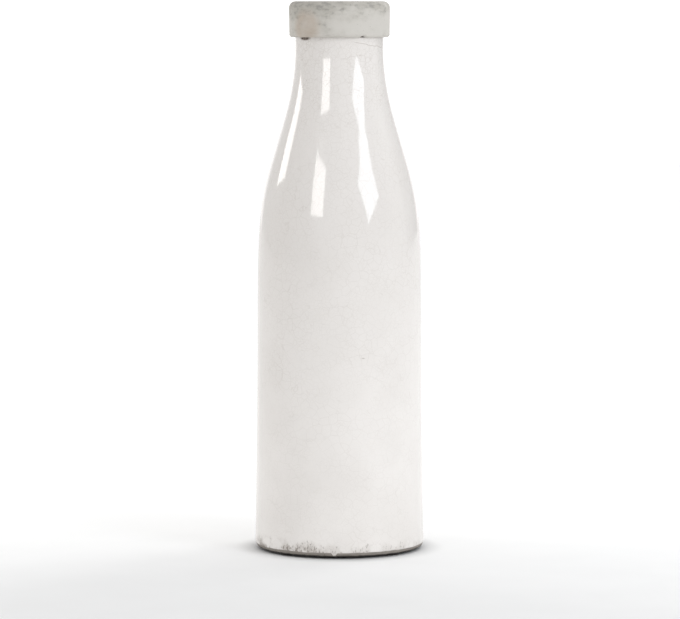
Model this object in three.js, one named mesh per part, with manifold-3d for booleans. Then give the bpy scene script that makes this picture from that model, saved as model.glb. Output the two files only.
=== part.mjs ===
// A tall decorative milk bottle in crackle-glazed stoneware, closed by a thick push-in cap.
//
// The vessel is one hollow stoneware piece that stands on four felt pads. The cap is a bare stoneware
// cover whose skirt hangs round the neck. Under its top it carries a flat gasket that lands on the lip,
// and a turned wooden plug that reaches down the bore and grips it with two silicone rings. The plug is
// held by a screw and washer in a brass insert cemented into the cap.
//
// Millimetres, +Z up. The origin is on the bottle's axis, on the surface that the pads stand on.

import * as THREE from "three";
import { mergeVertices } from "three/addons/utils/BufferGeometryUtils.js";
import Module from "manifold-3d";

const wasm = await Module();
wasm.setup();

// ---- Driving dimensions ----

const pad = { count: 4, radius: 6, thickness: 2 };

const vessel = {
  bodyRadius: 76.4, // outside, at the top of the straight wall
  heelFlare: 2.3, // how much wider the wall is at its foot
  neckRadius: 41.2, // outside, just under the cap
  wall: 6.2,
  wallHeight: 179.6, // from the heel's rounding to the start of the shoulder
  shoulderRise: 197.2, // from there to where the outline turns from convex to concave
  neckSweep: 78.4, // from there to the straight neck
  neckHeight: 30.2, // straight neck, up to the top of the lip
  lipRound: 2.4,
};

const foot = {
  inset: 3.2, // from the heel's widest point in to the edge of the standing face
  roundHeight: 6,
  padMargin: 1, // standing face left showing on each side of a pad
  recess: 5, // depth of the hollow inside the foot ring
  floor: 8, // thickness of the bottom above that hollow
  floorRound: 12, // radius of the inside corner between floor and wall
};

const cap = {
  skirtWall: 4.9,
  skirtDepth: 20.6, // from the ceiling down to the skirt's edge
  top: 12.6, // thickness above the ceiling
  topRound: 5.5,
  edgeRound: 2.6,
};

const gasket = { thickness: 2 };

const plug = { length: 30, chamfer: 2, counterboreDepth: 7 };

const sealRing = { section: 2, lowerHeight: 7, spacing: 10 }; // heights above the plug's lower face

const screw = { radius: 2.5, tip: 1, headRadius: 4.75, headHeight: 2.75, socketWidth: 3, socketDepth: 1.6 };

const washer = { radius: 7.5, thickness: 1.2 };

const insert = { wall: 1.5, length: 8, grooveWidth: 2, grooveDepth: 0.5 };

const clearance = {
  skirt: 0.8, // neck to skirt
  plug: 1.5, // bore to plug
  seal: 0.3, // bore to seal ring, and seal ring to its groove
  gasket: 0.5, // gasket to skirt and to plug
  screw: 0.3, // screw to whatever it passes through
  screwTip: 2.2, // screw to the far end of its insert
  insert: 0.3, // insert to its hole
  counterbore: 1.5, // washer to the counterbore's wall
};

// How the shoulder and neck curves bend. These are pure numbers, so the outline keeps its character at any size.
const outline = {
  wallWaist: 0.42, // how hollow the wall is: where its middle sits between the heel's flare and the body
  turnShare: 0.418, // radius where convex turns to concave, as a share of the way from neck to body
  steepest: 2.27, // the lean there, as a multiple of the average lean from body to neck
  shoulderFull: 0.703, // handle lengths, as shares of the rise or sweep that they belong to
  shoulderFall: 0.32,
  neckStart: 0.114,
  neckEnd: 0.456,
};

const BIG_TURN = 48; // segments round the large pieces
const SMALL_TURN = 24; // and round the small ones
const CURVE_STEPS = 8; // along each long curve of an outline
const ROUND_STEPS = 2; // along each half of a quarter circle

// ---- Levels and radii that follow from them ----

const heelRadius = vessel.bodyRadius + vessel.heelFlare;
const footRadius = heelRadius - foot.inset;
const footRingWidth = 2 * (pad.radius + foot.padMargin);
const footLevel = pad.thickness;
const wallLevel = footLevel + foot.roundHeight;
const shoulderLevel = wallLevel + vessel.wallHeight;
const turnLevel = shoulderLevel + vessel.shoulderRise;
const neckLevel = turnLevel + vessel.neckSweep;
const lipLevel = neckLevel + vessel.neckHeight;
const boreRadius = vessel.neckRadius - vessel.wall;

const ceilingLevel = lipLevel + gasket.thickness;
const capLevel = ceilingLevel + cap.top;
const skirtInside = vessel.neckRadius + clearance.skirt;
const capRadius = skirtInside + cap.skirtWall;

const plugRadius = boreRadius - clearance.plug;
const plugLevel = ceilingLevel - plug.length;
const counterboreLevel = plugLevel + plug.counterboreDepth;
const screwSeat = counterboreLevel - washer.thickness;
const sealRadius = boreRadius - clearance.seal - sealRing.section; // to the middle of the ring's section
const sealLevels = [sealRing.lowerHeight, sealRing.lowerHeight + sealRing.spacing].map((h) => plugLevel + h);

const screwHole = screw.radius + clearance.screw;
const insertRadius = screwHole + insert.wall;
const insertHole = insertRadius + clearance.insert;
const insertEnd = ceilingLevel + insert.length;

// ---- Making solids ----

const material = (color, roughness, metalness = 0) =>
  new THREE.MeshStandardMaterial({ color, roughness, metalness });

const glaze = material(0xebe8e2, 0.12);
const bareStoneware = material(0xc2beb5, 0.85);
const felt = material(0x2b2724, 0.95);
const cork = material(0xb08a5e, 0.9);
const beech = material(0xc9a274, 0.6);
const silicone = material(0xdedcd6, 0.45);
const brass = material(0xb5974f, 0.35, 1);
const steel = material(0xb9babc, 0.3, 1);

const at = (radius, level) => new THREE.Vector2(radius, level);

// Turns a profile of (radius, level) points round the Z axis.
function turned(points, segments = BIG_TURN) {
  return new THREE.LatheGeometry(points, segments).rotateX(Math.PI / 2);
}

// The same for a ring, whose profile closes on itself.
function turnedRing(points, segments = BIG_TURN) {
  return turned([...points, points[0].clone()], segments);
}

function part(name, geometry, itsMaterial) {
  const mesh = new THREE.Mesh(geometry, itsMaterial);
  mesh.name = name;
  return mesh;
}

function toSolid(geometry) {
  const bare = geometry.clone();
  bare.deleteAttribute("normal");
  bare.deleteAttribute("uv");
  const merged = mergeVertices(bare);
  return new wasm.Manifold(
    new wasm.Mesh({
      numProp: 3,
      vertProperties: merged.attributes.position.array,
      triVerts: new Uint32Array(merged.index.array),
    }),
  );
}

function toGeometry(solid) {
  const mesh = solid.getMesh();
  return new THREE.BufferGeometry()
    .setAttribute("position", new THREE.BufferAttribute(mesh.vertProperties, 3))
    .setIndex(new THREE.BufferAttribute(mesh.triVerts, 1));
}

// ---- The vessel ----

// The outside from the top of the heel's rounding to the straight neck: a slightly hollow wall,
// a full shoulder and a long sweep into the neck.
function vesselOutside() {
  const { bodyRadius, neckRadius, shoulderRise, neckSweep, heelFlare, wallHeight } = vessel;
  const drop = bodyRadius - neckRadius;
  const turnRadius = neckRadius + outline.turnShare * drop;
  const lean = (outline.steepest * drop) / (shoulderRise + neckSweep);
  const fall = outline.shoulderFall * shoulderRise;
  const start = outline.neckStart * neckSweep;
  const waistRadius = bodyRadius + outline.wallWaist * heelFlare;
  const path = new THREE.Path();
  path.moveTo(heelRadius, wallLevel);
  path.quadraticCurveTo(waistRadius, wallLevel + wallHeight / 2, bodyRadius, shoulderLevel);
  path.bezierCurveTo(
    bodyRadius,
    shoulderLevel + outline.shoulderFull * shoulderRise,
    turnRadius + lean * fall,
    turnLevel - fall,
    turnRadius,
    turnLevel,
  );
  path.bezierCurveTo(
    turnRadius - lean * start,
    turnLevel + start,
    neckRadius,
    neckLevel - outline.neckEnd * neckSweep,
    neckRadius,
    neckLevel,
  );
  return path.getPoints(CURVE_STEPS);
}

// The same line moved inwards, square to itself, by the wall's thickness.
function movedInwards(points, distance) {
  return points.map((p, i) => {
    const before = points[Math.max(i - 1, 0)];
    const after = points[Math.min(i + 1, points.length - 1)];
    const along = after.clone().sub(before).normalize();
    return at(p.x - along.y * distance, p.y + along.x * distance);
  });
}

function makeBottle() {
  const recessLevel = footLevel + foot.recess;
  const floorLevel = recessLevel + foot.floor;
  const ringInside = footRadius - footRingWidth;
  const outside = vesselOutside();
  const cornerTop = floorLevel + foot.floorRound;
  const inside = movedInwards(outside, vessel.wall).filter((p) => p.y > cornerTop && p.y < neckLevel);
  const cornerRadius = inside[0].x - foot.floorRound;
  const { lipRound, neckRadius } = vessel;

  const underside = [at(0, recessLevel), at(ringInside - foot.recess, recessLevel), at(ringInside, footLevel)];
  const heel = new THREE.Path()
    .absellipse(footRadius, wallLevel, foot.inset, foot.roundHeight, -Math.PI / 2, 0)
    .getPoints(ROUND_STEPS);
  const lip = new THREE.Path()
    .absarc(neckRadius - lipRound, lipLevel - lipRound, lipRound, 0, Math.PI / 2)
    .absarc(boreRadius + lipRound, lipLevel - lipRound, lipRound, Math.PI / 2, Math.PI)
    .getPoints(ROUND_STEPS);
  const floorCorner = new THREE.Path()
    .absarc(cornerRadius, cornerTop, foot.floorRound, 0, -Math.PI / 2, true)
    .getPoints(ROUND_STEPS);
  return part(
    "bottle",
    turned([
      ...underside,
      ...heel,
      ...outside.slice(1),
      ...lip,
      at(boreRadius, neckLevel),
      ...inside.reverse(),
      ...floorCorner,
      at(0, floorLevel),
    ]),
    glaze,
  );
}

function makeFootPads() {
  const circle = footRadius - footRingWidth / 2;
  return Array.from({ length: pad.count }, (_, i) => {
    const angle = (2 * Math.PI * (i + 0.5)) / pad.count;
    const disc = new THREE.CylinderGeometry(pad.radius, pad.radius, pad.thickness, SMALL_TURN).rotateX(Math.PI / 2);
    const mesh = part(`foot_pad_${i + 1}`, disc, felt);
    mesh.position.set(circle * Math.cos(angle), circle * Math.sin(angle), pad.thickness / 2);
    return mesh;
  });
}

// ---- The cap and what it carries ----

function makeCap() {
  const edgeLevel = ceilingLevel - cap.skirtDepth;
  const holeLevel = insertEnd + clearance.insert;
  const innerRound = cap.edgeRound / 2;
  const edge = new THREE.Path()
    .absarc(skirtInside + innerRound, edgeLevel + innerRound, innerRound, Math.PI, 1.5 * Math.PI)
    .absarc(capRadius - cap.edgeRound, edgeLevel + cap.edgeRound, cap.edgeRound, -Math.PI / 2, 0)
    .getPoints(ROUND_STEPS);
  const shoulder = new THREE.Path()
    .absarc(capRadius - cap.topRound, capLevel - cap.topRound, cap.topRound, 0, Math.PI / 2)
    .getPoints(2 * ROUND_STEPS);
  return part(
    "cap",
    turned([
      at(0, holeLevel),
      at(insertHole, holeLevel),
      at(insertHole, ceilingLevel),
      at(skirtInside, ceilingLevel),
      ...edge,
      ...shoulder,
      at(0, capLevel),
    ]),
    bareStoneware,
  );
}

function makeCapGasket() {
  const inner = plugRadius + clearance.gasket;
  const outer = skirtInside - clearance.gasket;
  return part(
    "cap_gasket",
    turnedRing([at(inner, lipLevel), at(outer, lipLevel), at(outer, ceilingLevel), at(inner, ceilingLevel)]),
    cork,
  );
}

function makeCapPlug() {
  const counterboreRadius = washer.radius + clearance.counterbore;
  const grooveRadius = sealRadius - sealRing.section - clearance.seal;
  const halfGroove = sealRing.section + clearance.seal;
  const grooves = sealLevels.flatMap((level) => [
    at(plugRadius, level - halfGroove),
    at(grooveRadius, level - halfGroove),
    at(grooveRadius, level + halfGroove),
    at(plugRadius, level + halfGroove),
  ]);
  return part(
    "cap_plug",
    turnedRing([
      at(screwHole, counterboreLevel),
      at(counterboreRadius, counterboreLevel),
      at(counterboreRadius, plugLevel),
      at(plugRadius - plug.chamfer, plugLevel),
      at(plugRadius, plugLevel + plug.chamfer),
      ...grooves,
      at(plugRadius, ceilingLevel),
      at(screwHole, ceilingLevel),
    ]),
    beech,
  );
}

function makeSealRings() {
  return sealLevels.map((level, i) => {
    const ring = new THREE.TorusGeometry(sealRadius, sealRing.section, 10, BIG_TURN);
    const mesh = part(["seal_ring_lower", "seal_ring_upper"][i], ring, silicone);
    mesh.position.z = level;
    return mesh;
  });
}

function makePlugWasher() {
  return part(
    "plug_washer",
    turnedRing(
      [
        at(screwHole, screwSeat),
        at(washer.radius, screwSeat),
        at(washer.radius, counterboreLevel),
        at(screwHole, counterboreLevel),
      ],
      SMALL_TURN,
    ),
    steel,
  );
}

// A button-head screw, pushed up from below, with a hexagon socket in its head.
function makePlugScrew() {
  const crown = screwSeat - screw.headHeight;
  const end = insertEnd - clearance.screwTip;
  const head = new THREE.Path()
    .moveTo(0, crown)
    .lineTo(screw.headRadius / 2, crown)
    .quadraticCurveTo(screw.headRadius, crown, screw.headRadius, screwSeat)
    .getPoints(6);
  const shank = [
    at(screw.radius, screwSeat),
    at(screw.radius, end - screw.tip),
    at(screw.radius - screw.tip, end),
    at(0, end),
  ];
  const blank = turned([...head, ...shank], SMALL_TURN);
  const overshoot = 1;
  const socketRadius = screw.socketWidth / Math.sqrt(3);
  const socket = new THREE.CylinderGeometry(socketRadius, socketRadius, screw.socketDepth + overshoot, 6)
    .rotateX(Math.PI / 2)
    .translate(0, 0, crown + (screw.socketDepth - overshoot) / 2);
  return part("plug_screw", toGeometry(toSolid(blank).subtract(toSolid(socket))), steel);
}

function makeCapInsert() {
  const grooveLow = ceilingLevel + (insert.length - insert.grooveWidth) / 2;
  const grooveHigh = grooveLow + insert.grooveWidth;
  const grooveRadius = insertRadius - insert.grooveDepth;
  return part(
    "cap_insert",
    turnedRing(
      [
        at(screwHole, ceilingLevel),
        at(insertRadius, ceilingLevel),
        at(insertRadius, grooveLow),
        at(grooveRadius, grooveLow),
        at(grooveRadius, grooveHigh),
        at(insertRadius, grooveHigh),
        at(insertRadius, insertEnd),
        at(screwHole, insertEnd),
      ],
      SMALL_TURN,
    ),
    brass,
  );
}

const bottleWithCap = new THREE.Group();
bottleWithCap.add(
  makeBottle(),
  ...makeFootPads(),
  makeCap(),
  makeCapGasket(),
  makeCapPlug(),
  ...makeSealRings(),
  makePlugWasher(),
  makePlugScrew(),
  makeCapInsert(),
);

export default bottleWithCap;
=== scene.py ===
"""Looks for a tall milk bottle in crackle-glazed stoneware with a bare stoneware cap.

Outlines are written in millimetres as (radius, level) and turned round the bottle's axis. Angles round the
axis are measured from the front (-Y), positive towards +X. The shader helpers measure in millimetres too.
"""

import math

import bpy
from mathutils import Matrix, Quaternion, Vector, noise


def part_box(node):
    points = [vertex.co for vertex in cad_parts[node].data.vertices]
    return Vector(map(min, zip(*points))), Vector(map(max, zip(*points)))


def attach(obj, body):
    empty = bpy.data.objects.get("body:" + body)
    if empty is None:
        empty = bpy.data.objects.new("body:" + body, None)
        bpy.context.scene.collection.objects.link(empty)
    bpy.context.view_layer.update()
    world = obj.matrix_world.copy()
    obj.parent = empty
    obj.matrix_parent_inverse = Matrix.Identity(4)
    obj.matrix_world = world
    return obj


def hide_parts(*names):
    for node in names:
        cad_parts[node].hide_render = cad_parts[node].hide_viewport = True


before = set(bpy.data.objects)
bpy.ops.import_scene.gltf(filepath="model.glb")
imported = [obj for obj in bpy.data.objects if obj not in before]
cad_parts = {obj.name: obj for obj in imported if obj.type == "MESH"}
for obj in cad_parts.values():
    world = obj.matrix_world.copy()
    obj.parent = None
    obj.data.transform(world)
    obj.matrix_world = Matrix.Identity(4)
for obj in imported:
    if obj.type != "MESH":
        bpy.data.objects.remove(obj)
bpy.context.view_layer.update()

MM = 0.001
FINE_TURN = 256  # segments round the pieces that show
SMALL_TURN = 96


# ---- Sizes ----


def reach(node):
    """Lowest level, highest level and largest radius of a CAD node that is centred on the axis, in mm."""
    low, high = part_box(node)
    return low.z / MM, high.z / MM, high.x / MM


FOOT_LEVEL, LIP_LEVEL, HEEL_RADIUS = reach("bottle")
EDGE_LEVEL, CAP_LEVEL, CAP_RADIUS = reach("cap")
PLUG_LEVEL, CEILING_LEVEL, PLUG_RADIUS = reach("cap_plug")
GASKET_LEVEL, _, GASKET_RADIUS = reach("cap_gasket")
SEAT_LEVEL, COUNTERBORE_LEVEL, WASHER_RADIUS = reach("plug_washer")
CROWN_LEVEL, SCREW_END, HEAD_RADIUS = reach("plug_screw")
_, INSERT_END, INSERT_RADIUS = reach("cap_insert")

# Sizes that no node's box gives, the same as the CAD model's
BODY_RADIUS = HEEL_RADIUS - 2.3
FOOT_RADIUS = HEEL_RADIUS - 3.2
RING_INSIDE = FOOT_RADIUS - 14.0
NECK_RADIUS = 41.2
TURN_RADIUS = 55.9  # where the outline turns from convex to concave
WALL = 6.2
BORE_RADIUS = NECK_RADIUS - WALL
WALL_LEVEL = FOOT_LEVEL + 6.0
SHOULDER_LEVEL = WALL_LEVEL + 179.6
TURN_LEVEL = SHOULDER_LEVEL + 197.2
NECK_LEVEL = TURN_LEVEL + 78.4
LIP_ROUND = 2.4
RECESS_LEVEL = FOOT_LEVEL + 5.0
FLOOR_LEVEL = RECESS_LEVEL + 8.0
FLOOR_ROUND = 12.0
SKIRT_INSIDE = NECK_RADIUS + 0.8
SCREW_RADIUS = 2.5
SCREW_HOLE = SCREW_RADIUS + 0.3

# Places of single marks: angle in degrees, radius and level
SOILED_SIDE = (-48, 78.0, FOOT_LEVEL + 4.0)
SCRATCH = (16.5, BODY_RADIUS + 0.3, SHOULDER_LEVEL - 3.6)
HAIRLINE = (46, NECK_RADIUS, EDGE_LEVEL - 6.8)
CREVICE = (-51, NECK_RADIUS, EDGE_LEVEL - 0.6)
GAP = (29, NECK_RADIUS, EDGE_LEVEL + 0.7)
CAP_STAIN = (-42, CAP_RADIUS, EDGE_LEVEL + 9.2)
CAP_WEAR = (-42, CAP_RADIUS, CAP_LEVEL - 14.0)


# ---- Outlines ----


def between(a, b, share):
    """The point that lies the given share of the way from a to b."""
    return (a[0] + (b[0] - a[0]) * share, a[1] + (b[1] - a[1]) * share)


def line(start, end, steps):
    """Points from start to end, without the end."""
    return [between(start, end, i / steps) for i in range(steps)]


def bezier(points, steps):
    """Points along a Bezier curve of any degree, without its end."""
    made = []
    for i in range(steps):
        level = list(points)
        while len(level) > 1:
            level = [between(a, b, i / steps) for a, b in zip(level, level[1:])]
        made.append(level[0])
    return made


def arc(centre, radius, start, end, steps=8):
    """Points on a circle from one angle to another, in degrees, both ends included."""
    angles = [math.radians(start + (end - start) * i / steps) for i in range(steps + 1)]
    return [(centre[0] + radius * math.cos(a), centre[1] + radius * math.sin(a)) for a in angles]


def rounded_corner(before, here, after, fillet):
    """Points round one corner, both ends included."""
    before, here, after = Vector(before), Vector(here), Vector(after)
    size = min(fillet, (before - here).length * 0.45, (after - here).length * 0.45)
    first = here + (before - here).normalized() * size
    last = here + (after - here).normalized() * size
    return [*bezier([tuple(first), tuple(here), tuple(last)], 4), tuple(last)]


def softened(corners, fillet, spacing, closed=True):
    """An outline with each corner rounded and each straight stretch divided evenly."""
    count = len(corners)
    cuts = []
    for i, here in enumerate(corners):
        if closed or 0 < i < count - 1:
            cuts.append(rounded_corner(corners[i - 1], here, corners[(i + 1) % count], fillet))
        else:
            cuts.append([here])
    made = []
    for i, cut in enumerate(cuts):
        made += cut[:-1]
        if closed or i < count - 1:
            following = cuts[(i + 1) % count][0]
            steps = max(1, round(math.dist(cut[-1], following) / spacing))
            made += line(cut[-1], following, steps)
        else:
            made.append(cut[-1])
    return made


def bump_at(angle, level, size, seed=0.0):
    """Smooth random value from -1 to 1 on the wall of a round piece, with lumps of about the given size."""
    typical_radius = 70
    where = Vector((math.sin(angle) * typical_radius, -math.cos(angle) * typical_radius, level)) / size
    return noise.noise(where + Vector((seed, seed, seed)))


def dent(angle, level, at_angle, at_level, half_width, half_height, around=NECK_RADIUS):
    """How far into a dent this point is: 1 at its middle, 0 outside it. Its own angle is in degrees."""
    turn = (angle - math.radians(at_angle) + math.pi) % (2 * math.pi) - math.pi
    away = math.hypot(turn * around / half_width, (level - at_level) / half_height)
    return max(0.0, 1 - away * away) ** 1.5


# ---- Turned meshes ----


def turned_points(outlines, centre):
    """All points in metres, row by row, and for each row the number of its point at each angle.

    A row that lies on the axis has a single point.
    """
    segments = len(outlines)
    points, index = [], []
    for row in zip(*outlines):
        count = 1 if row[0][0] == 0 else segments
        index.append([len(points) + k % count for k in range(segments)])
        for k, (radius, level) in enumerate(row[:count]):
            angle = 2 * math.pi * k / segments
            x = centre[0] + radius * math.sin(angle)
            y = centre[1] - radius * math.cos(angle)
            points.append((x * MM, y * MM, level * MM))
    return points, index


def turned(name, profile_at, materials, segments=FINE_TURN, closed=False, bare_rows=0, centre=(0, 0)):
    """A mesh whose outline may change as it goes round.

    profile_at(angle) gives the outline at that angle. The first bare_rows rows take the second material.
    """
    outlines = [profile_at(2 * math.pi * k / segments) for k in range(segments)]
    points, index = turned_points(outlines, centre)
    rows = len(index)
    faces, bands = [], []
    for i in range(rows if closed else rows - 1):
        low, high = index[i], index[(i + 1) % rows]
        for k in range(segments):
            after = (k + 1) % segments
            faces.append(list(dict.fromkeys([low[k], low[after], high[after], high[k]])))
            bands.append(1 if i < bare_rows else 0)
    mesh = bpy.data.meshes.new(name)
    mesh.from_pydata(points, [], faces)
    for material in materials:
        mesh.materials.append(material)
    mesh.polygons.foreach_set("material_index", bands)
    mesh.shade_smooth()
    mesh.validate()
    made = bpy.data.objects.new(name, mesh)
    bpy.context.scene.collection.objects.link(made)
    return made


# ---- Shader helpers ----


def new_material(name):
    made = bpy.data.materials.new(name)
    made.use_nodes = True
    tree = made.node_tree
    return made, tree, tree.nodes["Principled BSDF"]


def connect(tree, value, socket):
    """Links an output to a socket, or sets a number or colour on it."""
    if isinstance(value, bpy.types.NodeSocket):
        tree.links.new(value, socket)
    elif socket.type == "RGBA":
        socket.default_value = (*value[:3], 1.0)
    else:
        socket.default_value = value


def node(tree, kind, inputs=None, **settings):
    made = tree.nodes.new("ShaderNode" + kind)
    for key, value in settings.items():
        setattr(made, key, value)
    for key, value in (inputs or {}).items():
        connect(tree, value, made.inputs[key])
    return made


def maths(tree, operation, a, b=0.0):
    return node(tree, "Math", {0: a, 1: b}, operation=operation).outputs[0]


def plus(tree, a, b):
    return maths(tree, "ADD", a, b)


def minus(tree, a, b):
    return maths(tree, "SUBTRACT", a, b)


def times(tree, a, b):
    return maths(tree, "MULTIPLY", a, b)


def larger(tree, a, b):
    return maths(tree, "MAXIMUM", a, b)


def ramp(tree, value, start, end, low=0.0, high=1.0, shape="LINEAR"):
    """Goes evenly from low to high as value goes from start to end."""
    inputs = {"Value": value, "From Min": start, "From Max": end, "To Min": low, "To Max": high}
    return node(tree, "MapRange", inputs, interpolation_type=shape).outputs["Result"]


def fade(tree, value, start, end, low=0.0, high=1.0):
    """Goes from low to high as value goes from start to end, and starts and stops gently."""
    return ramp(tree, value, start, end, low, high, "SMOOTHSTEP")


def mixed(tree, share, a, b):
    """Colour a, with the given share of colour b."""
    made = node(tree, "Mix", data_type="RGBA")
    connect(tree, share, made.inputs[0])
    connect(tree, a, made.inputs[6])
    connect(tree, b, made.inputs[7])
    return made.outputs[2]


def place(tree):
    """Where the shaded point is, in metres. The helpers below take it, and take and give millimetres."""
    return node(tree, "TexCoord").outputs["Object"]


def side_of(tree, where):
    return times(tree, node(tree, "SeparateXYZ", {0: where}).outputs["X"], 1 / MM)


def height_of(tree, where):
    return times(tree, node(tree, "SeparateXYZ", {0: where}).outputs["Z"], 1 / MM)


def radius_of(tree, where):
    level = node(tree, "VectorMath", {0: where, 1: (1, 1, 0)}, operation="MULTIPLY").outputs[0]
    metres = node(tree, "VectorMath", {0: level}, operation="LENGTH").outputs["Value"]
    return times(tree, metres, 1 / MM)


def distance_from(tree, where, point):
    """Distance from a point that is given in mm."""
    target = tuple(value * MM for value in point)
    metres = node(tree, "VectorMath", {0: where, 1: target}, operation="DISTANCE").outputs["Value"]
    return times(tree, metres, 1 / MM)


def near(tree, where, spot, start, end, flat=1.0):
    """1 within start of a marked place, fading to 0 at end. Flat makes the patch that much lower."""
    angle, radius, level = spot
    turn = math.radians(angle)
    point = (math.sin(turn) * radius, -math.cos(turn) * radius, level * flat)
    stretched = node(tree, "VectorMath", {0: where, 1: (1, 1, flat)}, operation="MULTIPLY").outputs[0]
    return fade(tree, distance_from(tree, stretched, point), start, end, 1.0, 0.0)


def cloud(tree, where, size, detail=3.0, roughness=0.5, offset=(0, 0, 0), stretch=(1, 1, 1)):
    """Smooth noise from 0 to 1 with lumps of about the given size."""
    moved = node(tree, "Mapping", {"Vector": where, "Location": offset, "Scale": stretch}).outputs[0]
    inputs = {"Vector": moved, "Scale": 1 / (size * MM), "Detail": detail, "Roughness": roughness}
    return node(tree, "TexNoise", inputs).outputs["Fac"]


def cracks(tree, where, cell, width, wander):
    """1 along the edges of an irregular net of cells, 0 inside them."""
    scale = 1 / (cell * MM)
    shake = node(tree, "TexNoise", {"Vector": where, "Scale": scale, "Detail": 2.0}).outputs["Color"]
    half = (0.5, 0.5, 0.5)
    centred = node(tree, "VectorMath", {0: shake, 1: half}, operation="SUBTRACT").outputs[0]
    size = wander * cell * MM
    moved = node(tree, "VectorMath", {0: centred, "Scale": size}, operation="SCALE").outputs[0]
    shaken = node(tree, "VectorMath", {0: where, 1: moved}, operation="ADD").outputs[0]
    inputs = {"Vector": shaken, "Scale": scale}
    edge = node(tree, "TexVoronoi", inputs, feature="DISTANCE_TO_EDGE").outputs["Distance"]
    return fade(tree, edge, width / cell * 0.25, width / cell * 0.5, 1.0, 0.0)


def bumped(tree, height, distance, strength=1.0, normal=None):
    """A normal that follows a height from 0 to 1, with the given distance between the two."""
    inputs = {"Height": height, "Distance": distance * MM, "Strength": strength}
    if normal is not None:
        inputs["Normal"] = normal
    return node(tree, "Bump", inputs).outputs["Normal"]


# ---- The glaze and the bare foot ----

CRACK_BROWN = (0.46, 0.41, 0.36)
MARK_BROWN = (0.40, 0.35, 0.31)
DUST_BROWN = (0.42, 0.37, 0.325)
SPECK_BROWN = (0.24, 0.205, 0.175)


def glaze_colour(tree, where, height):
    """Cream, painted lighter towards the foot to brighten the lower body, with faint darker clouds."""
    thin, lower_cream_painted_lighter = (0.775, 0.745, 0.717), (0.875, 0.843, 0.812)
    # Painted light: the cream grows lighter from 340 mm down to the foot, standing in for light the lower
    # body does not get.
    colour = mixed(tree, fade(tree, height, 10, 340, 1.0, 0.0), thin, lower_cream_painted_lighter)
    faint = fade(tree, cloud(tree, where, 45, 4), 0.3, 0.7, 0.0, 0.25)
    return mixed(tree, faint, colour, (0.70, 0.665, 0.63))


def crackle(tree, where, height):
    """Two nets of cracks: how deep they are, and how dark, which is more on the neck than on the body."""
    taper = (370, 440)  # levels between which the cracks grow darker
    patchy = fade(tree, cloud(tree, where, 16, 3, offset=(3, 1, 2)), 0.35, 0.65, 0.25, 1.0)
    strong = fade(tree, cloud(tree, where, 30, 2), 0.35, 0.65, 0.2, 0.7)
    small = times(tree, cracks(tree, where, 3.8, 0.32, 0.35), patchy)
    large = times(tree, cracks(tree, where, 8, 0.5, 0.5), strong)
    small_shade = times(tree, small, fade(tree, height, *taper, 0.15, 0.39))
    large_shade = times(tree, large, fade(tree, height, *taper, 0.27, 0.35))
    calm_below = fade(tree, height, 80, 220, 0.6, 1.0)
    shade = times(tree, larger(tree, small_shade, large_shade), calm_below)
    return larger(tree, small, large), shade


def hairline(tree, where, height):
    """One long slanting crack under the cap."""
    slanted = plus(tree, height, times(tree, side_of(tree, where), 0.19))
    wavy = plus(tree, slanted, times(tree, cloud(tree, where, 9, 2), 3.0))
    away = maths(tree, "ABSOLUTE", minus(tree, wavy, EDGE_LEVEL - 0.3))
    return times(tree, fade(tree, away, 0.1, 0.4, 0.55, 0.0), near(tree, where, HAIRLINE, 15, 24))


def foot_soil(tree, where, height):
    """Dirt just above the foot, more of it on one side: a soft film and dark specks."""
    low = fade(tree, height, FOOT_LEVEL + 2, FOOT_LEVEL + 24, 1.0, 0.0)
    patches = fade(tree, cloud(tree, where, 12, 2, offset=(5, 0, 1)), 0.35, 0.6, 0.25, 1.0)
    side = fade(tree, near(tree, where, SOILED_SIDE, 15, 85), 0, 1, 0.62, 1.0)
    amount = times(tree, times(tree, low, patches), side)
    film = fade(tree, amount, 0.2, 1.0, 0.0, 0.45)
    grit = cloud(tree, where, 1.5, 6, 0.7, stretch=(1, 1, 0.4))
    specks = fade(tree, plus(tree, grit, times(tree, amount, 0.3)), 0.70, 0.82)
    return film, times(tree, specks, fade(tree, amount, 0.0, 0.15))


def rubbed_ring(tree, where, height):
    """A worn line round the outside of the neck, just inside the cap's skirt."""
    start = fade(tree, height, EDGE_LEVEL + 0.4, EDGE_LEVEL + 1.7)
    end = fade(tree, height, EDGE_LEVEL + 2.2, EDGE_LEVEL + 6.2, 1.0, 0.0)
    uneven = fade(tree, cloud(tree, where, 5, 4), 0.35, 0.7, 0.0, 0.5)
    outside = fade(tree, radius_of(tree, where), BORE_RADIUS + 3, BORE_RADIUS + 5)
    return times(tree, times(tree, times(tree, start, end), uneven), outside)


def seat_painted_shade(tree, where, height):
    """Painted shade, dark brown, in the crevice under the cap and in the gap behind a chip of its edge."""
    seat = fade(tree, height, EDGE_LEVEL - 4.3, EDGE_LEVEL - 2.3)
    crevice = times(tree, near(tree, where, CREVICE, 4.5, 9.0, flat=3.2), seat)
    return larger(tree, crevice, near(tree, where, GAP, 1.0, 6.0, flat=4.0))


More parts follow.
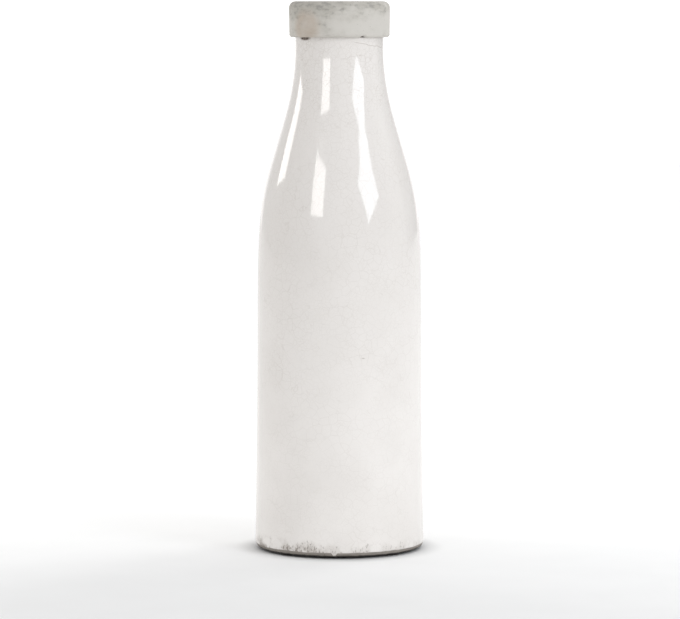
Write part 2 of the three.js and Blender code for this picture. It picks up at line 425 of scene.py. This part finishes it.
def crackle_glaze():
    """Glossy cream glaze, crackled all over, dirty above the foot, with painted shade in the crevice and
    gap where the cap meets it.
    """
    made, tree, shader = new_material("crackle glaze")
    where = place(tree)
    height = height_of(tree, where)
    net, shade = crackle(tree, where, height)
    film, specks = foot_soil(tree, where, height)
    scratch = near(tree, where, SCRATCH, 0.4, 2.4, flat=3.0)
    # Painted shade: a dark brown patch in the crevice under the cap and in the gap behind its chip, also
    # made rougher.
    seat_shade = seat_painted_shade(tree, where, height)
    shade_depth = fade(tree, cloud(tree, where, 3, 3), 0.35, 0.6)
    seat_shade_colour = mixed(tree, shade_depth, (0.06, 0.043, 0.035), (0.24, 0.195, 0.165))

    colour = mixed(tree, shade, glaze_colour(tree, where, height), CRACK_BROWN)
    colour = mixed(tree, hairline(tree, where, height), colour, MARK_BROWN)
    colour = mixed(tree, film, colour, DUST_BROWN)
    colour = mixed(tree, times(tree, specks, 0.85), colour, SPECK_BROWN)
    colour = mixed(tree, times(tree, scratch, 0.6), colour, MARK_BROWN)
    colour = mixed(tree, rubbed_ring(tree, where, height), colour, DUST_BROWN)
    colour = mixed(tree, seat_shade, colour, seat_shade_colour)
    connect(tree, colour, shader.inputs["Base Color"])

    gloss = fade(tree, cloud(tree, where, 30, 2), 0.3, 0.7, 0.035, 0.07)
    matt = larger(tree, times(tree, specks, 0.5), times(tree, seat_shade, 0.8))
    connect(tree, plus(tree, gloss, matt), shader.inputs["Roughness"])
    shader.inputs["IOR"].default_value = 1.55
    pillow = bumped(tree, cloud(tree, where, 12, 2), 0.04, 0.5)
    connect(tree, bumped(tree, minus(tree, 1.0, net), 0.012, 0.5, pillow), shader.inputs["Normal"])
    return made


def bare_clay():
    """The unglazed stoneware of the foot and the underside, with near-black painted shade where it stands.
    """
    made, tree, shader = new_material("bare clay")
    where = place(tree)
    colour = mixed(tree, cloud(tree, where, 6, 6, 0.6), (0.22, 0.20, 0.178), (0.36, 0.33, 0.295))
    specks = fade(tree, cloud(tree, where, 1.1, 2), 0.66, 0.72)
    colour = mixed(tree, specks, colour, (0.10, 0.08, 0.065))
    ragged = times(tree, cloud(tree, where, 5, 4), 2.0)
    height = minus(tree, height_of(tree, where), ragged)
    # Painted shade: near-black on the lowest few millimetres of the foot, strongest towards its outer edge,
    # for the dark gap under the bottle.
    standing = fade(tree, height, FOOT_LEVEL - 0.4, FOOT_LEVEL + 0.8, 1.0, 0.0)
    shade_towards_edge = fade(tree, radius_of(tree, where), FOOT_RADIUS - 5, FOOT_RADIUS - 1, 0.35, 0.9)
    colour = mixed(tree, times(tree, standing, shade_towards_edge), colour, (0.03, 0.026, 0.024))
    connect(tree, colour, shader.inputs["Base Color"])
    connect(tree, fade(tree, standing, 0.0, 1.0, 0.88, 0.96), shader.inputs["Roughness"])
    connect(tree, bumped(tree, cloud(tree, where, 0.9, 5, 0.6), 0.25, 0.7), shader.inputs["Normal"])
    return made


# ---- The other materials ----


def cap_stoneware():
    """Bare stoneware under a thin grey-white wash, worn along the top edge and stained at one place."""
    made, tree, shader = new_material("washed stoneware")
    where = place(tree)
    wash, clay = (0.575, 0.553, 0.512), (0.43, 0.41, 0.368)
    smears = cloud(tree, where, 12, 6, 0.6, stretch=(0.8, 0.8, 1.3))
    near_top = fade(tree, height_of(tree, where), CAP_LEVEL - 22, CAP_LEVEL - 3, 0.0, 0.24)
    worn = plus(tree, near_top, times(tree, near(tree, where, CAP_WEAR, 5, 58), 0.22))
    bare = fade(tree, plus(tree, smears, worn), 0.48, 1.0)
    colour = mixed(tree, bare, wash, clay)

    strokes = cloud(tree, where, 4.5, 6, 0.65, offset=(1, 4, 2), stretch=(0.7, 0.7, 1.5))
    grey = times(tree, fade(tree, strokes, 0.47, 0.62), fade(tree, bare, 0.3, 0.8))
    colour = mixed(tree, times(tree, grey, 0.8), colour, (0.30, 0.288, 0.264))

    uneven = fade(tree, cloud(tree, where, 9, 4), 0.3, 0.7, 0.5, 0.85)
    stain = times(tree, near(tree, where, CAP_STAIN, 9, 20), uneven)
    colour = mixed(tree, stain, colour, (0.475, 0.40, 0.33))

    pits = fade(tree, cloud(tree, where, 1.3, 3), 0.68, 0.74)
    colour = mixed(tree, times(tree, pits, 0.5), colour, (0.24, 0.22, 0.20))
    connect(tree, colour, shader.inputs["Base Color"])
    connect(tree, fade(tree, smears, 0.3, 0.7, 0.7, 0.92), shader.inputs["Roughness"])
    grain = bumped(tree, cloud(tree, where, 0.8, 5, 0.65), 0.12, 0.6)
    connect(tree, bumped(tree, minus(tree, smears, pits), 0.35, 0.5, grain), shader.inputs["Normal"])
    return made


def felt():
    """Dark pressed fibres with a faint sheen."""
    made, tree, shader = new_material("felt")
    fibres = cloud(tree, place(tree), 0.35, 6, 0.7, stretch=(1, 2.5, 1))
    colour = mixed(tree, fibres, (0.012, 0.011, 0.010), (0.055, 0.048, 0.043))
    connect(tree, colour, shader.inputs["Base Color"])
    shader.inputs["Roughness"].default_value = 0.98
    shader.inputs["Sheen Weight"].default_value = 0.35
    connect(tree, bumped(tree, fibres, 0.15, 0.9), shader.inputs["Normal"])
    return made


def cork():
    """Pressed cork: pale and dark granules with fine dark seams."""
    made, tree, shader = new_material("cork")
    where = place(tree)
    granules_per_metre = 620.0
    inputs = {"Vector": where, "Scale": granules_per_metre, "Randomness": 1.0}
    granules = node(tree, "TexVoronoi", inputs).outputs["Color"]
    tone = node(tree, "SeparateColor", {0: granules}).outputs[0]
    colour = mixed(tree, tone, (0.36, 0.215, 0.115), (0.62, 0.43, 0.26))
    seams = cracks(tree, where, 1.6, 0.2, 0.4)
    colour = mixed(tree, times(tree, seams, 0.6), colour, (0.17, 0.095, 0.05))
    pores = fade(tree, cloud(tree, where, 0.8, 2), 0.66, 0.7)
    colour = mixed(tree, pores, colour, (0.11, 0.06, 0.035))
    connect(tree, colour, shader.inputs["Base Color"])
    shader.inputs["Roughness"].default_value = 0.9
    surface = minus(tree, 1.0, larger(tree, seams, pores))
    connect(tree, bumped(tree, surface, 0.12, 0.8), shader.inputs["Normal"])
    return made


def beech():
    """Turned beech, its grain lying across the plug, with short dark flecks."""
    made, tree, shader = new_material("beech")
    where = place(tree)
    bent = cloud(tree, where, 45, 2, stretch=(0.4, 1, 1))
    grain = cloud(tree, where, 3.2, 5, 0.6, stretch=(0.09, 1, 1))
    rings = plus(tree, times(tree, bent, 0.6), times(tree, grain, 0.5))
    colour = mixed(tree, fade(tree, rings, 0.35, 0.75), (0.66, 0.44, 0.26), (0.46, 0.275, 0.145))
    flecks = fade(tree, cloud(tree, where, 0.9, 2, stretch=(0.22, 1, 1)), 0.66, 0.71)
    colour = mixed(tree, times(tree, flecks, 0.7), colour, (0.25, 0.13, 0.065))
    connect(tree, colour, shader.inputs["Base Color"])
    connect(tree, fade(tree, grain, 0.3, 0.7, 0.42, 0.6), shader.inputs["Roughness"])
    connect(tree, bumped(tree, minus(tree, grain, flecks), 0.05, 0.6), shader.inputs["Normal"])
    return made


def silicone():
    """Milky rubber with a slight bloom."""
    made, tree, shader = new_material("silicone")
    where = place(tree)
    bloom = cloud(tree, where, 7, 4)
    colour = mixed(tree, bloom, (0.80, 0.79, 0.75), (0.70, 0.685, 0.64))
    connect(tree, colour, shader.inputs["Base Color"])
    connect(tree, fade(tree, bloom, 0.3, 0.7, 0.32, 0.5), shader.inputs["Roughness"])
    shader.inputs["Subsurface Weight"].default_value = 0.25
    shader.inputs["Subsurface Scale"].default_value = 2 * MM
    connect(tree, bumped(tree, cloud(tree, where, 0.7, 3), 0.02, 0.5), shader.inputs["Normal"])
    return made


def metal(name, light, dark, roughness):
    """Machined metal with fine turning marks and a slightly uneven tarnish."""
    made, tree, shader = new_material(name)
    where = place(tree)
    tarnish = cloud(tree, where, 3, 5, 0.6)
    colour = mixed(tree, fade(tree, tarnish, 0.35, 0.75), light, dark)
    connect(tree, colour, shader.inputs["Base Color"])
    dull = fade(tree, tarnish, 0.3, 0.8, roughness - 0.06, roughness + 0.14)
    connect(tree, dull, shader.inputs["Roughness"])
    shader.inputs["Metallic"].default_value = 1.0
    shader.inputs["Anisotropic"].default_value = 0.4
    marks = cloud(tree, where, 0.25, 2, stretch=(1, 1, 6))
    connect(tree, bumped(tree, marks, 0.01, 0.4), shader.inputs["Normal"])
    return made


# ---- The vessel ----

BULGE = 0.97  # how far the wall's middle control point stands outside the body's radius
STEEPEST = 2.27  # lean at the turn, as a multiple of the average lean from the body to the neck
SHOULDER_START, SHOULDER_END = 0.703, 0.32  # handle lengths, as shares of the shoulder's rise
NECK_START, NECK_END = 0.114, 0.456  # and as shares of the rise from the turn to the neck

GLAZE_STEP = 0.35  # thickness of the glaze's edge
GLAZE_ROWS = 14
BARE_ROWS = 7
DRIP_ANGLE = -3.5  # a bead of glaze that ran down to the foot's edge


def outside_curves():
    """The wall, the shoulder and the sweep into the neck, as control points."""
    rise, sweep = TURN_LEVEL - SHOULDER_LEVEL, NECK_LEVEL - TURN_LEVEL
    lean = STEEPEST * (BODY_RADIUS - NECK_RADIUS) / (rise + sweep)
    before_turn, after_turn = SHOULDER_END * rise, NECK_START * sweep
    wall = [
        (HEEL_RADIUS, WALL_LEVEL),
        (BODY_RADIUS + BULGE, (WALL_LEVEL + SHOULDER_LEVEL) / 2),
        (BODY_RADIUS, SHOULDER_LEVEL),
    ]
    shoulder = [
        (BODY_RADIUS, SHOULDER_LEVEL),
        (BODY_RADIUS, SHOULDER_LEVEL + SHOULDER_START * rise),
        (TURN_RADIUS + lean * before_turn, TURN_LEVEL - before_turn),
        (TURN_RADIUS, TURN_LEVEL),
    ]
    neck = [
        (TURN_RADIUS, TURN_LEVEL),
        (TURN_RADIUS - lean * after_turn, TURN_LEVEL + after_turn),
        (NECK_RADIUS, NECK_LEVEL - NECK_END * sweep),
        (NECK_RADIUS, NECK_LEVEL),
    ]
    return wall, shoulder, neck


def moved_inwards(points, distance):
    made = []
    for i, (radius, level) in enumerate(points):
        before, after = points[max(i - 1, 0)], points[min(i + 1, len(points) - 1)]
        along = Vector((after[0] - before[0], after[1] - before[1])).normalized()
        made.append((radius - along.y * distance, level + along.x * distance))
    return made


def underside_outline():
    """From the axis across the turned hollow of the foot and down its ring to the standing face."""
    turning = [(r, RECESS_LEVEL + 0.1 * math.sin(r * 1.5)) for r in range(2, 54)]
    corners = [
        (RING_INSIDE - 6, RECESS_LEVEL),
        (RING_INSIDE - 5, RECESS_LEVEL),
        (RING_INSIDE, FOOT_LEVEL),
        (FOOT_RADIUS, FOOT_LEVEL),
    ]
    return [(0, RECESS_LEVEL), *turning, *softened(corners, 0.9, 1.2, closed=False)[:-1]]


def wall_outline(curves):
    """The outside, from just above the heel to the lip."""
    wall, shoulder, neck = curves
    straight = line((NECK_RADIUS, NECK_LEVEL), (NECK_RADIUS, LIP_LEVEL - LIP_ROUND), 40)
    return bezier(wall, 44)[2:] + bezier(shoulder, 64) + bezier(neck, 30) + straight


def mouth_outline():
    """Over the lip and down the straight bore."""
    level = LIP_LEVEL - LIP_ROUND
    outer = arc((NECK_RADIUS - LIP_ROUND, level), LIP_ROUND, 0, 90)
    inner = arc((BORE_RADIUS + LIP_ROUND, level), LIP_ROUND, 90, 180)
    return outer + inner + line((BORE_RADIUS, LIP_LEVEL - 4), (BORE_RADIUS, NECK_LEVEL), 8)


def inside_outline(curves):
    """Down the inside of the wall, round the floor's corner and across to the axis."""
    wall, shoulder, neck = curves
    outside = bezier(wall, 20) + bezier(shoulder, 28) + bezier(neck, 12)
    corner_level = FLOOR_LEVEL + FLOOR_ROUND
    inside = [point for point in moved_inwards(outside, WALL) if point[1] > corner_level + 1]
    inside.reverse()
    corner_radius = inside[-1][0] - FLOOR_ROUND
    corner = arc((corner_radius, corner_level), FLOOR_ROUND, 0, -90)
    floor = line((corner_radius - 4, FLOOR_LEVEL), (0, FLOOR_LEVEL), 8)
    return inside + corner + floor + [(0, FLOOR_LEVEL)]


CURVES = outside_curves()
UNDERSIDE = underside_outline()
WALL_POINTS = wall_outline(CURVES)
INNER_POINTS = mouth_outline() + inside_outline(CURVES)


def heel_radius(level):
    """Radius of the heel's rounding at a level, and of its widest place above that."""
    share = min(1.0, max(0.0, (WALL_LEVEL - level) / (WALL_LEVEL - FOOT_LEVEL)))
    return FOOT_RADIUS + (HEEL_RADIUS - FOOT_RADIUS) * math.sqrt(1 - share * share)


def throwing_waves(angle, level):
    """The slight unevenness of a hand-finished wall, always inwards."""
    return -0.16 + 0.12 * bump_at(angle, level, 95) + 0.03 * bump_at(angle, level, 30, 3.0)


def glaze_edge(angle):
    """Level of the glaze's lower edge: uneven, with one drip."""
    uneven = 0.7 * bump_at(angle, 0, 24) + 0.35 * bump_at(angle, 0, 6, 5.0)
    drip = dent(angle, 0, DRIP_ANGLE, 0, 2.4, 1, FOOT_RADIUS)
    return max(FOOT_LEVEL + 0.5, FOOT_LEVEL + 3.6 + uneven - 3.2 * drip)


def bare_foot(angle, edge):
    """The unglazed band from the standing face to the glaze's edge, slightly chipped."""
    made = []
    for i in range(BARE_ROWS):
        level = FOOT_LEVEL + (edge - FOOT_LEVEL) * i / BARE_ROWS
        chip = 0.25 * max(0.0, bump_at(angle, level * 3, 4, 9.0))
        made.append((heel_radius(level) - GLAZE_STEP - chip, level))
    return made


def glazed_heel(angle, edge):
    """The glaze from its edge, where it swells out of the clay, to just above the heel's rounding."""
    made = []
    top = WALL_LEVEL + 6
    bead = 0.3 * dent(angle, 0, DRIP_ANGLE, 0, 2.2, 1, FOOT_RADIUS)
    for i in range(GLAZE_ROWS + 1):
        level = edge + (top - edge) * (i / GLAZE_ROWS) ** 1.6
        up = (level - edge) / 0.6
        step = bead * max(0.0, 1 - up / 3) - GLAZE_STEP * max(0.0, 1 - up) ** 2
        taper = 0.012 * max(0.0, level - WALL_LEVEL)
        made.append((heel_radius(level) - taper + step + throwing_waves(angle, level), level))
    return made


def vessel_outline(angle):
    edge = glaze_edge(angle)
    made = UNDERSIDE + bare_foot(angle, edge) + glazed_heel(angle, edge)
    for radius, level in WALL_POINTS:
        hole = 0.25 * dent(angle, level, CREVICE[0], CREVICE[2] - 0.2, 9, 3.0)
        made.append((radius + throwing_waves(angle, level) - hole, level))
    return made + INNER_POINTS


def make_vessel(glaze, clay):
    bare_rows = len(UNDERSIDE) + BARE_ROWS
    made = turned("vessel", vessel_outline, [glaze, clay], bare_rows=bare_rows)
    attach(made, "bottle")
    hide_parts("bottle")


def make_foot_pads(material):
    for i in range(1, 5):
        cad = f"foot_pad_{i}"
        low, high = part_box(cad)
        centre = ((low + high) / 2 / MM).to_2d()
        radius, top = (high.x - low.x) / 2 / MM, high.z / MM

        def outline(angle, seed=i * 7.0, radius=radius, top=top):
            where = Vector((math.sin(angle) * 6, math.cos(angle) * 6, seed))
            edge = radius + 0.12 * noise.noise(where) - 0.13
            return softened([(0, 0), (edge, 0), (edge, top), (0, top)], 0.45, 0.6, closed=False)

        made = turned(f"felt_pad_{i}", outline, [material], SMALL_TURN, centre=tuple(centre))
        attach(made, "bottle")
        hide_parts(cad)


# ---- The cap ----

TOP_ROUND = 6.5
EDGE_ROUND = 2.6  # round the skirt's lower edge, outside
INNER_ROUND = 1.3  # and inside
INSERT_HOLE, INSERT_HOLE_DEPTH = 4.6, 8.3

# Chips along the cap's lower edge: angle in degrees, half width, depth
CAP_CHIPS = [
    (29, 4.0, 1.3),
    (-62, 4.5, 1.0),
    (118, 5.0, 1.3),
    (-155, 3.6, 1.1),
    (171, 2.4, 0.8),
    (64, 1.8, 0.6),
]


def cap_underside():
    """From the insert's hole across the ceiling and down the inside of the skirt."""
    hole_end = CEILING_LEVEL + INSERT_HOLE_DEPTH
    corners = [
        (INSERT_HOLE, hole_end),
        (INSERT_HOLE, CEILING_LEVEL),
        (SKIRT_INSIDE, CEILING_LEVEL),
        (SKIRT_INSIDE, EDGE_LEVEL + 1.4),
    ]
    return [(0, hole_end), *softened(corners, 0.4, 1.5, closed=False)]


def cap_side():
    """Round the skirt's lower edge and up its outside."""
    inner = arc((SKIRT_INSIDE + INNER_ROUND, EDGE_LEVEL + INNER_ROUND), INNER_ROUND, 180, 270, 6)
    outer = arc((CAP_RADIUS - EDGE_ROUND, EDGE_LEVEL + EDGE_ROUND), EDGE_ROUND, 270, 360, 10)
    return inner + outer + line((CAP_RADIUS, EDGE_LEVEL + 3), (CAP_RADIUS, CAP_LEVEL - TOP_ROUND), 30)


def cap_top():
    """Round the top edge and across, but not as far as the axis."""
    inner_radius = CAP_RADIUS - TOP_ROUND
    edge = arc((inner_radius, CAP_LEVEL - TOP_ROUND), TOP_ROUND, 0, 90, 14)
    return edge + line((inner_radius - 0.7, CAP_LEVEL), (0, CAP_LEVEL), 34)


CAP_UNDERSIDE, CAP_SIDE, CAP_TOP = cap_underside(), cap_side(), cap_top()


def cap_lumps(angle, level):
    """Unevenness of the cap's bare surface, always inwards."""
    return -0.34 + 0.22 * bump_at(angle, level, 38, 11.0) + 0.09 * bump_at(angle, level, 9, 4.0)


def worn_side_point(angle, radius, level, chipped):
    """A point of the skirt, moved by its lumps, the shallow line above its edge and its chips."""
    outer = min(1.0, max(0.0, (radius - SKIRT_INSIDE - 1) / 3))
    low = max(0.0, 1 - (level - EDGE_LEVEL) / 4)
    groove = 0.22 * math.exp(-(((level - EDGE_LEVEL - 3.6) / 0.55) ** 2))
    inwards = outer * (cap_lumps(angle, level) - groove) - chipped * low * outer * 0.8
    return (radius + inwards, level + chipped * low)


def worn_top_point(angle, radius, level):
    """A point of the rounded edge or the top, which is slightly uneven."""
    share = min(1.0, max(0.0, (level - CAP_LEVEL + TOP_ROUND) / TOP_ROUND))
    where = Vector((radius * math.sin(angle), radius * math.cos(angle), 3.0)) / 14
    drop = 0.3 * share * (0.5 - 0.5 * noise.noise(where))
    return (radius + cap_lumps(angle, level) * (1 - share), level - drop)


def cap_outline(angle):
    chips = [depth * dent(angle, 0, where, 0, half, 1, CAP_RADIUS) for where, half, depth in CAP_CHIPS]
    side = [worn_side_point(angle, radius, level, sum(chips)) for radius, level in CAP_SIDE]
    top = [worn_top_point(angle, radius, level) for radius, level in CAP_TOP]
    return CAP_UNDERSIDE + side + top + [(0, CAP_LEVEL - 0.15)]


def make_cap(material):
    made = turned("stoneware_cap", cap_outline, [material])
    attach(made, "cap")
    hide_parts("cap")


# ---- What the cap carries ----


def make_gasket(material):
    inner = PLUG_RADIUS + 0.5
    corners = [
        (inner, GASKET_LEVEL),
        (GASKET_RADIUS, GASKET_LEVEL),
        (GASKET_RADIUS, CEILING_LEVEL),
        (inner, CEILING_LEVEL),
    ]
    outline = softened(corners, 0.35, 0.8)
    made = turned("cork_gasket", lambda angle: outline, [material], closed=True)
    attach(made, "cap")
    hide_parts("cap_gasket")


def plug_corners():
    """The plug's outline: its counterbore, its chamfer, its two grooves and its screw hole."""
    groove_radius, half_groove, chamfer = BORE_RADIUS - 4.6, 2.3, 2
    counterbore_radius = WASHER_RADIUS + 1.5
    corners = [
        (SCREW_HOLE, COUNTERBORE_LEVEL),
        (counterbore_radius, COUNTERBORE_LEVEL),
        (counterbore_radius, PLUG_LEVEL),
        (PLUG_RADIUS - chamfer, PLUG_LEVEL),
        (PLUG_RADIUS, PLUG_LEVEL + chamfer),
    ]
    for ring in ("seal_ring_lower", "seal_ring_upper"):
        low, high, _ = reach(ring)
        middle = (low + high) / 2
        corners += [(PLUG_RADIUS, middle - half_groove), (groove_radius, middle - half_groove)]
        corners += [(groove_radius, middle + half_groove), (PLUG_RADIUS, middle + half_groove)]
    return corners + [(PLUG_RADIUS, CEILING_LEVEL), (SCREW_HOLE, CEILING_LEVEL)]


def make_plug(material):
    """The plug, with faint turning marks outside its counterbore."""
    smooth = softened(plug_corners(), 0.35, 0.9)
    outline = [(r - 0.03 + 0.03 * math.sin(z * 5) if r > 20 else r, z) for r, z in smooth]
    made = turned("beech_plug", lambda angle: outline, [material], 192, closed=True)
    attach(made, "cap")
    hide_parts("cap_plug")


def make_seal_rings(material):
    """Two rings of round section, slightly slack, each with a faint moulding line inside and outside."""
    section, steps = 2.0, 28
    for cad in ("seal_ring_lower", "seal_ring_upper"):
        low, high, outer = reach(cad)

        def outline(angle, middle=(low + high) / 2, centre=outer - section):
            made = []
            for i in range(steps):
                a = 2 * math.pi * i / steps
                flash = 0.05 * math.exp(-((math.sin(a) / 0.08) ** 2))
                radius = centre + (section - 0.06 + flash) * math.cos(a)
                made.append((radius, middle + (section - 0.1) * math.sin(a)))
            return made

        made = turned(cad.replace("seal", "silicone"), outline, [material], closed=True)
        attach(made, "seal_rings")
        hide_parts(cad)


def make_washer(material):
    corners = [
        (SCREW_HOLE, SEAT_LEVEL),
        (WASHER_RADIUS, SEAT_LEVEL),
        (WASHER_RADIUS, COUNTERBORE_LEVEL),
        (SCREW_HOLE, COUNTERBORE_LEVEL),
    ]
    outline = softened(corners, 0.22, 0.5)
    made = turned("steel_washer", lambda angle: outline, [material], SMALL_TURN, closed=True)
    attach(made, "cap")
    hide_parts("plug_washer")


def thread(angle, level, depth, pitch=0.8):
    """How far a thread's flank has dropped below its crest at this place."""
    turn = (level / pitch - angle / (2 * math.pi)) % 1.0
    return depth * min(1.0, max(0.0, 2.6 * abs(turn - 0.5) - 0.15))


def screw_head(angle):
    """The outline of a button head with a hexagon socket, from the axis to the head's underside."""
    flat = 1.5  # from the axis to each side of the hexagon
    socket_end, rim_level = CROWN_LEVEL + 1.6, SEAT_LEVEL - 0.25
    side = (angle + math.pi / 6) % (math.pi / 3) - math.pi / 6
    hexagon = flat / math.cos(side)
    crown = [(HEAD_RADIUS / 2, CROWN_LEVEL), (HEAD_RADIUS, CROWN_LEVEL), (HEAD_RADIUS, rim_level)]
    return [
        (0, socket_end + 0.4),
        (flat * 0.8, socket_end),
        *line((hexagon - 0.05, socket_end), (hexagon, CROWN_LEVEL + 0.3), 6),
        (hexagon, CROWN_LEVEL + 0.2),
        (hexagon + 0.15, CROWN_LEVEL),
        *bezier(crown, 12),
        (HEAD_RADIUS, rim_level),
        (HEAD_RADIUS - 0.15, SEAT_LEVEL),
    ]


def screw_shank(angle):
    """The outline of the screw's plain neck, its rolled thread and its short tip."""
    start, end, steps = SEAT_LEVEL + 0.8, SCREW_END - 1, 260
    neck = line((SCREW_RADIUS - 0.05, SEAT_LEVEL + 0.2), (SCREW_RADIUS - 0.2, start), 3)
    levels = [start + (end - start) * i / steps for i in range(steps + 1)]
    threads = [(SCREW_RADIUS - thread(angle, level, 0.42), level) for level in levels]
    tip = [(SCREW_RADIUS - 0.75, end + 0.3), (SCREW_RADIUS - 1, SCREW_END - 0.05), (0, SCREW_END)]
    return [(SCREW_RADIUS + 0.2, SEAT_LEVEL), *neck, *threads, *tip]


def make_screw(material):
    made = turned("socket_screw", lambda angle: screw_head(angle) + screw_shank(angle), [material], 48)
    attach(made, "cap")
    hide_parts("plug_screw")


def insert_outline(angle):
    """Two knurled bands outside with a plain waist between them, and a thread inside."""
    length = INSERT_END - CEILING_LEVEL
    outer_steps, inner_steps = 24, 80
    knurl = 0.14 * (1 - abs(math.sin(angle * 18)))
    made = []
    for i in range(outer_steps + 1):
        level = CEILING_LEVEL + length * i / outer_steps
        if abs(level - CEILING_LEVEL - length / 2) < 1.05:
            depth = 0.5
        elif i in (0, outer_steps):
            depth = 0.3
        else:
            depth = knurl
        made.append((INSERT_RADIUS - depth, level))
    for i in range(inner_steps + 1):
        level = INSERT_END - length * i / inner_steps
        depth = 0.35 if i in (0, inner_steps) else thread(angle, level, 0.35)
        made.append((SCREW_HOLE + depth, level))
    return made


def make_insert(material):
    made = turned("brass_insert", insert_outline, [material], 180, closed=True)
    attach(made, "cap")
    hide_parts("cap_insert")


# ---- Studio ----

# The lights, the floor's mesh and the camera are placed in metres
LIGHTS_AIM = Vector((0, -0.05, 0.38))
COOL, WARM = (0.90, 0.94, 1.0), (1.0, 0.98, 0.96)


def softbox(name, stands, size, power, colour=(1, 1, 1), roll=0.0):
    """A rectangular light that faces the bottle.

    It stands at an azimuth and an elevation in degrees and at a distance, as seen from the bottle.
    """
    azimuth, elevation, distance = stands
    lamp = bpy.data.lights.new(name, "AREA")
    lamp.shape = "RECTANGLE"
    lamp.size, lamp.size_y = size
    lamp.energy = power
    lamp.color = colour
    made = bpy.data.objects.new(name, lamp)
    a, e = math.radians(azimuth), math.radians(elevation)
    back = Vector((math.sin(a) * math.cos(e), -math.cos(a) * math.cos(e), math.sin(e)))
    made.location = LIGHTS_AIM + back * distance
    made.rotation_mode = "QUATERNION"
    made.rotation_quaternion = Quaternion(back, math.radians(roll)) @ back.to_track_quat("Z", "Y")
    bpy.context.scene.collection.objects.link(made)
    return made


def make_lights():
    """A key light on the right, one on the left that only reflections show, and two further back."""
    softbox("key softbox", (47.5, 19.3, 1.9), (0.785, 0.785), 9.9, COOL, roll=29)
    front = softbox("front softbox", (-33.8, 17.2, 1.7), (0.54, 0.64), 6.6, WARM)
    front.visible_diffuse = False
    softbox("side softbox", (-110, 17, 1.3), (0.37, 0.27), 1.7, WARM, roll=20)
    softbox("back softbox", (135, 45, 2.2), (0.75, 0.75), 9)


def white_surroundings():
    """A white studio with dimmer panels at both sides and behind on the right, and a bright one behind.

    Where it is seen directly it is plain white.
    """
    world = bpy.data.worlds.new("studio")
    world.use_nodes = True
    bpy.context.scene.world = world
    tree = world.node_tree
    background = tree.nodes["Background"]
    background.inputs["Color"].default_value = (1, 1, 1, 1)
    towards = node(tree, "SeparateXYZ", {0: node(tree, "TexCoord").outputs["Generated"]})
    x, y = towards.outputs["X"], towards.outputs["Y"]
    sides = fade(tree, maths(tree, "ABSOLUTE", x), 0.4, 0.85, 0.0, 0.2)
    behind = fade(tree, y, 0.84, 0.92, 0.0, 0.5)
    behind_right = times(tree, fade(tree, x, 0.3, 0.6), fade(tree, y, 0.2, 0.5, 0.0, 0.45))
    lighting = minus(tree, plus(tree, minus(tree, 0.85, sides), behind), behind_right)
    seen = times(tree, node(tree, "LightPath").outputs["Is Camera Ray"], 1.35)
    connect(tree, larger(tree, lighting, seen), background.inputs["Strength"])


def floor_material():
    """Matt and pale near the bottle, lit to pure white further off."""
    made, tree, shader = new_material("studio floor")
    where = place(tree)
    grain = fade(tree, cloud(tree, where, 60, 3), 0.2, 0.8)
    colour = mixed(tree, grain, (0.775, 0.775, 0.772), (0.79, 0.79, 0.787))
    connect(tree, colour, shader.inputs["Base Color"])
    shader.inputs["Roughness"].default_value = 0.8
    shader.inputs["Specular IOR Level"].default_value = 0.2
    shader.inputs["Emission Color"].default_value = (1, 1, 1, 1)
    away = distance_from(tree, where, (0, -600, 0))
    close = ramp(tree, away, 300, 980, 0.03, 0.3)
    far = ramp(tree, away, 1000, 3000, 0.0, 0.08)
    clear_of_foot = fade(tree, radius_of(tree, where), HEEL_RADIUS - 0.7, 100)
    glow = times(tree, plus(tree, close, far), clear_of_foot)
    connect(tree, glow, shader.inputs["Emission Strength"])
    return made


def make_floor():
    half = 8.0
    mesh = bpy.data.meshes.new("studio floor")
    corners = [(-half, -half, 0), (half, -half, 0), (half, half, 0), (-half, half, 0)]
    mesh.from_pydata(corners, [], [(0, 1, 2, 3)])
    mesh.materials.append(floor_material())
    floor = bpy.data.objects.new("studio_floor", mesh)
    bpy.context.scene.collection.objects.link(floor)


def make_camera():
    """A long lens at the level of the cap's top, looking slightly down."""
    degrees_down = 4.947
    lens = bpy.data.cameras.new("camera")
    lens.lens = 188.7
    lens.sensor_width = 36.0
    camera = bpy.data.objects.new("camera", lens)
    camera.location = (0.0005, -3.3, 0.508)
    camera.rotation_euler = (math.radians(90 - degrees_down), 0, 0)
    bpy.context.scene.collection.objects.link(camera)
    bpy.context.scene.camera = camera


# ---- The scene ----

make_camera()
bpy.context.scene.view_settings.view_transform = "Standard"
white_surroundings()
make_floor()
make_lights()

make_vessel(crackle_glaze(), bare_clay())
make_foot_pads(felt())
make_cap(cap_stoneware())
make_gasket(cork())
make_plug(beech())
make_seal_rings(silicone())
steel = metal("stainless steel", (0.62, 0.62, 0.63), (0.46, 0.46, 0.47), 0.3)
make_washer(steel)
make_screw(steel)
make_insert(metal("brass", (0.72, 0.53, 0.24), (0.52, 0.36, 0.15), 0.32))
